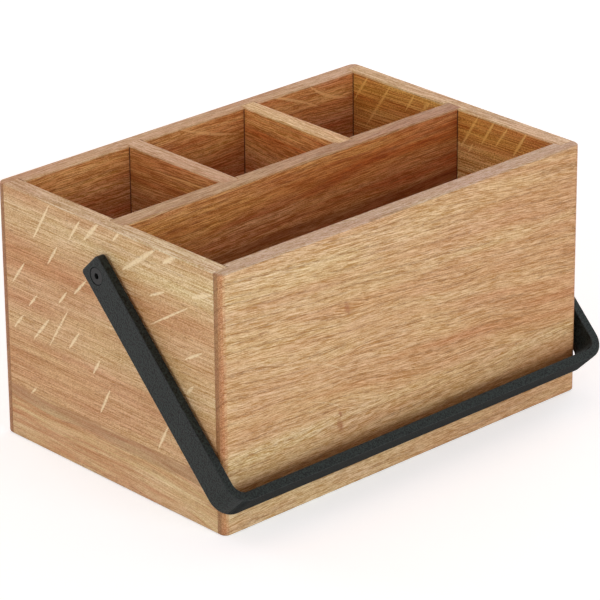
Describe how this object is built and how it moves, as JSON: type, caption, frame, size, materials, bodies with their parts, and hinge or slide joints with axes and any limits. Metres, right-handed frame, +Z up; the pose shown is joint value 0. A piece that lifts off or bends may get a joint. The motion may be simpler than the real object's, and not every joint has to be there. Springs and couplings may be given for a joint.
{
  "type": "cutlery caddy",
  "caption": "Open oak cutlery caddy with square rear compartments, one long front compartment and a swinging flat-bar carry handle.",
  "frame": {"origin": "middle of the caddy's underside, on the surface that it stands on", "axes": "+X along the caddy's length, from left to right as seen from the front; +Z up; the long front compartment is on the -Y side"},
  "size_m": [0.2632, 0.1855, 0.14],
  "materials": {
    "oak": "oiled oak, satin",
    "powder_coat": "fine black powder coat on steel",
    "black_steel": "black oxide",
    "nylon": "matte",
    "insert_brass": "plain"
  },
  "bodies": {
    "caddy": {"front_panel": "oak", "back_panel": "oak", "left_side_panel": "oak", "right_side_panel": "oak", "bottom_panel": "oak", "long_divider": "oak", "left_cross_divider": "oak", "right_cross_divider": "oak", "left_pivot_screw": "black_steel", "right_pivot_screw": "black_steel", "left_pivot_washer": "nylon", "right_pivot_washer": "nylon", "left_screw_insert": "insert_brass", "right_screw_insert": "insert_brass"},
    "handle": {"carry_handle": "powder_coat"}
  },
  "joints": [
    {"name": "handle_swing", "type": "hinge", "parent": "caddy", "child": "handle", "pos_m": [0, 0, 0.1155], "axis": [-1, 0, 0], "range_deg": [0, 270.9]}
  ]
}
